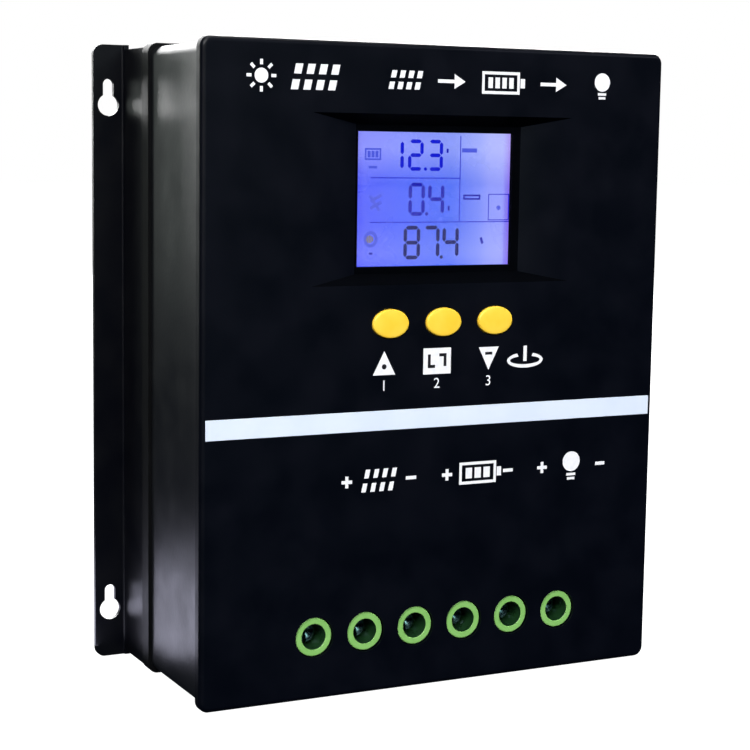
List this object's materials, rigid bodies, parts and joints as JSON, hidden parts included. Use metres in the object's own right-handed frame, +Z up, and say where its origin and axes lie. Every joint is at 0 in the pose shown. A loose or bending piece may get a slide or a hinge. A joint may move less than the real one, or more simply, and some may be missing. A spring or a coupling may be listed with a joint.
{
  "type": "solar charge controller",
  "caption": "Wall-mounted solar charge controller: flat box with a recessed display, oval push buttons, a row of screw terminals, a finned back and keyhole flanges.",
  "frame": {"origin": "centre of the four keyholes' round parts, on the wall plane", "axes": "+Y into the wall, +Z up, +X to the right as seen from the front"},
  "size_m": [0.1658, 0.0696, 0.187],
  "materials": {
    "panel_black": "moulded ABS, satin black",
    "cover_paint": "black powder coat, semi-gloss",
    "bracket_paint": "black powder coat",
    "heat_sink_black": "black anodised extrusion",
    "strip_white": "pale self-adhesive vinyl",
    "lens_clear": "clear acrylic",
    "lcd_cell": "liquid crystal cell",
    "lcd_light": "lit light guide",
    "lcd_frame_black": "moulded",
    "board_green": "solder-masked glass epoxy",
    "spacer_brass": "turned",
    "screw_zinc": "zinc plated",
    "button_yellow": "moulded, satin",
    "switch_black": "moulded",
    "ribbon_grey": "flat ribbon",
    "pad_grey": "silicone pad",
    "bar_steel": "plain steel",
    "sensor_body": "potted",
    "core_yellow": "painted powder core",
    "copper": "copper",
    "can_black": "sleeved can",
    "fuse_orange": "moulded",
    "terminal_green": "moulded nylon",
    "clamp_steel": "nickel plated"
  },
  "bodies": {
    "case": {"accent_strip": "strip_white", "beeper": "switch_black", "blade_fuses": "fuse_orange", "board_screws": "screw_zinc", "board_standoffs": "spacer_brass", "bracket_screws": "screw_zinc", "capacitors": "can_black", "case_screws": "screw_zinc", "clamp_bar": "bar_steel", "clamp_screws": "screw_zinc", "controller_chip": "switch_black", "current_shunts": "copper", "display_board": "board_green", "display_lens": "lens_clear", "display_screws": "screw_zinc", "display_standoffs": "spacer_brass", "front_cover": "cover_paint", "front_panel": "panel_black", "heat_sink": "heat_sink_black", "inductor_cores": "core_yellow", "inductor_windings": "copper", "lcd_backlight": "lcd_light", "lcd_frame": "lcd_frame_black", "lcd_glass": "lcd_cell", "left_bracket": "bracket_paint", "main_board": "board_green", "mosfets": "switch_black", "panel_screws": "screw_zinc", "ribbon_cable": "ribbon_grey", "ribbon_headers": "switch_black", "right_bracket": "bracket_paint", "tact_switches": "switch_black", "temperature_sensor": "sensor_body", "terminal_busbars": "copper", "terminal_pole_1": "terminal_green", "terminal_pole_2": "terminal_green", "terminal_pole_3": "terminal_green", "terminal_pole_4": "terminal_green", "terminal_pole_5": "terminal_green", "terminal_pole_6": "terminal_green", "thermal_pad": "pad_grey"},
    "button_up": {"button_up": "button_yellow", "plunger_up": "switch_black"},
    "button_menu": {"button_menu": "button_yellow", "plunger_menu": "switch_black"},
    "button_down": {"button_down": "button_yellow", "plunger_down": "switch_black"},
    "screw_1": {"terminal_screw_1": "clamp_steel"},
    "clamp_1": {"clamp_cage_1": "clamp_steel"},
    "screw_2": {"terminal_screw_2": "clamp_steel"},
    "clamp_2": {"clamp_cage_2": "clamp_steel"},
    "screw_3": {"terminal_screw_3": "clamp_steel"},
    "clamp_3": {"clamp_cage_3": "clamp_steel"},
    "screw_4": {"terminal_screw_4": "clamp_steel"},
    "clamp_4": {"clamp_cage_4": "clamp_steel"},
    "screw_5": {"terminal_screw_5": "clamp_steel"},
    "clamp_5": {"clamp_cage_5": "clamp_steel"},
    "screw_6": {"terminal_screw_6": "clamp_steel"},
    "clamp_6": {"clamp_cage_6": "clamp_steel"}
  },
  "joints": [
    {"name": "press_up", "type": "slide", "parent": "case", "child": "button_up", "axis": [0, 1, 0], "range_m": [0, 0.0006], "stiffness_N_per_m": 400, "springref_m": -0.0005},
    {"name": "press_menu", "type": "slide", "parent": "case", "child": "button_menu", "axis": [0, 1, 0], "range_m": [0, 0.0006], "stiffness_N_per_m": 400, "springref_m": -0.0005},
    {"name": "press_down", "type": "slide", "parent": "case", "child": "button_down", "axis": [0, 1, 0], "range_m": [0, 0.0006], "stiffness_N_per_m": 400, "springref_m": -0.0005},
    {"name": "turn_screw_1", "type": "hinge", "parent": "case", "child": "screw_1", "pos_m": [-0.03959, -0.0617, -0.07363], "axis": [0, 1, 0], "range_deg": [0, 2165]},
    {"name": "close_clamp_1", "type": "slide", "parent": "case", "child": "clamp_1", "axis": [0, -1, 0], "range_m": [0, 0.0048]},
    {"name": "turn_screw_2", "type": "hinge", "parent": "case", "child": "screw_2", "pos_m": [-0.02327, -0.0617, -0.07363], "axis": [0, 1, 0], "range_deg": [0, 2165]},
    {"name": "close_clamp_2", "type": "slide", "parent": "case", "child": "clamp_2", "axis": [0, -1, 0], "range_m": [0, 0.0048]},
    {"name": "turn_screw_3", "type": "hinge", "parent": "case", "child": "screw_3", "pos_m": [-0.00694, -0.0617, -0.07363], "axis": [0, 1, 0], "range_deg": [0, 2165]},
    {"name": "close_clamp_3", "type": "slide", "parent": "case", "child": "clamp_3", "axis": [0, -1, 0], "range_m": [0, 0.0048]},
    {"name": "turn_screw_4", "type": "hinge", "parent": "case", "child": "screw_4", "pos_m": [0.00938, -0.0617, -0.07363], "axis": [0, 1, 0], "range_deg": [0, 2165]},
    {"name": "close_clamp_4", "type": "slide", "parent": "case", "child": "clamp_4", "axis": [0, -1, 0], "range_m": [0, 0.0048]},
    {"name": "turn_screw_5", "type": "hinge", "parent": "case", "child": "screw_5", "pos_m": [0.02571, -0.0617, -0.07363], "axis": [0, 1, 0], "range_deg": [0, 2165]},
    {"name": "close_clamp_5", "type": "slide", "parent": "case", "child": "clamp_5", "axis": [0, -1, 0], "range_m": [0, 0.0048]},
    {"name": "turn_screw_6", "type": "hinge", "parent": "case", "child": "screw_6", "pos_m": [0.04203, -0.0617, -0.07363], "axis": [0, 1, 0], "range_deg": [0, 2165]},
    {"name": "close_clamp_6", "type": "slide", "parent": "case", "child": "clamp_6", "axis": [0, -1, 0], "range_m": [0, 0.0048]}
  ],
  "couplings": [
    {"joint": "turn_screw_1", "follows": "close_clamp_1", "rad_per_m": 7854},
    {"joint": "turn_screw_2", "follows": "close_clamp_2", "rad_per_m": 7854},
    {"joint": "turn_screw_3", "follows": "close_clamp_3", "rad_per_m": 7854},
    {"joint": "turn_screw_4", "follows": "close_clamp_4", "rad_per_m": 7854},
    {"joint": "turn_screw_5", "follows": "close_clamp_5", "rad_per_m": 7854},
    {"joint": "turn_screw_6", "follows": "close_clamp_6", "rad_per_m": 7854}
  ]
}
